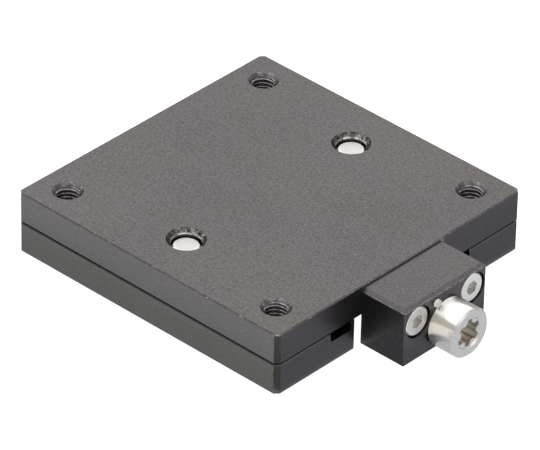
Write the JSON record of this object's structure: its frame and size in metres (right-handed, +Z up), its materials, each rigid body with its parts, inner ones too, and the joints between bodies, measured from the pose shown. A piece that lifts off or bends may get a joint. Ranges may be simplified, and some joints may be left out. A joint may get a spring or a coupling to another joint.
{
  "type": "x-axis stage",
  "caption": "Flat manual linear stage: a square table plate slides on a base plate, driven by a feed screw in a front bracket, turned by a small knob with a lobed recess.",
  "frame": {"origin": "centre of the base's bottom face, in the middle of the four base holes", "axes": "+X along the travel and the feed screw, out of the face with the knob; +Z up, out of the table surface; +Y sideways, away from the face seen at the picture's left"},
  "size_m": [0.0501, 0.04, 0.008],
  "materials": {
    "anodised_black": "black anodised over fine bead blasting",
    "hardened_steel": "ground",
    "ball_steel": "polished",
    "pin_steel": "turned and ground end face",
    "screw_steel": "stainless, satin",
    "spring_steel": "bright rolled",
    "brass": "machined",
    "bronze": "sintered, oil filled",
    "knob_nickel": "turned, bright nickel"
  },
  "bodies": {
    "base": {"base_plate": "anodised_black", "base_rail_left": "hardened_steel", "base_rail_right": "hardened_steel", "base_rail_screws": "screw_steel", "feed_nut": "brass", "nut_screws": "screw_steel"},
    "table": {"table_plate": "anodised_black", "table_rail_left": "hardened_steel", "table_rail_right": "hardened_steel", "table_rail_screws": "screw_steel", "rail_pins": "pin_steel", "bracket": "anodised_black", "bracket_bush": "bronze", "bracket_screw_left": "screw_steel", "bracket_screw_right": "screw_steel", "bracket_pin": "screw_steel"},
    "feed": {"feed_screw": "screw_steel", "knob": "knob_nickel", "e_ring": "spring_steel", "spring_washer": "spring_steel"},
    "cage_left": {"balls_left": "ball_steel", "retainer_left": "brass"},
    "cage_right": {"balls_right": "ball_steel", "retainer_right": "brass"}
  },
  "joints": [
    {"name": "screw_turn", "type": "hinge", "parent": "table", "child": "feed", "pos_m": [0.026, 0.00025, 0.0032], "axis": [1, 0, 0], "range_deg": [-2160, 2160]},
    {"name": "table_slide", "type": "slide", "parent": "base", "child": "table", "axis": [1, 0, 0], "range_m": [-0.003, 0.003]},
    {"name": "cage_left_slide", "type": "slide", "parent": "base", "child": "cage_left", "axis": [1, 0, 0], "range_m": [-0.0015, 0.0015]},
    {"name": "cage_right_slide", "type": "slide", "parent": "base", "child": "cage_right", "axis": [1, 0, 0], "range_m": [-0.0015, 0.0015]}
  ],
  "couplings": [
    {"joint": "screw_turn", "follows": "table_slide", "rad_per_m": 12566},
    {"joint": "cage_left_slide", "follows": "table_slide", "ratio": 0.5},
    {"joint": "cage_right_slide", "follows": "table_slide", "ratio": 0.5}
  ]
}
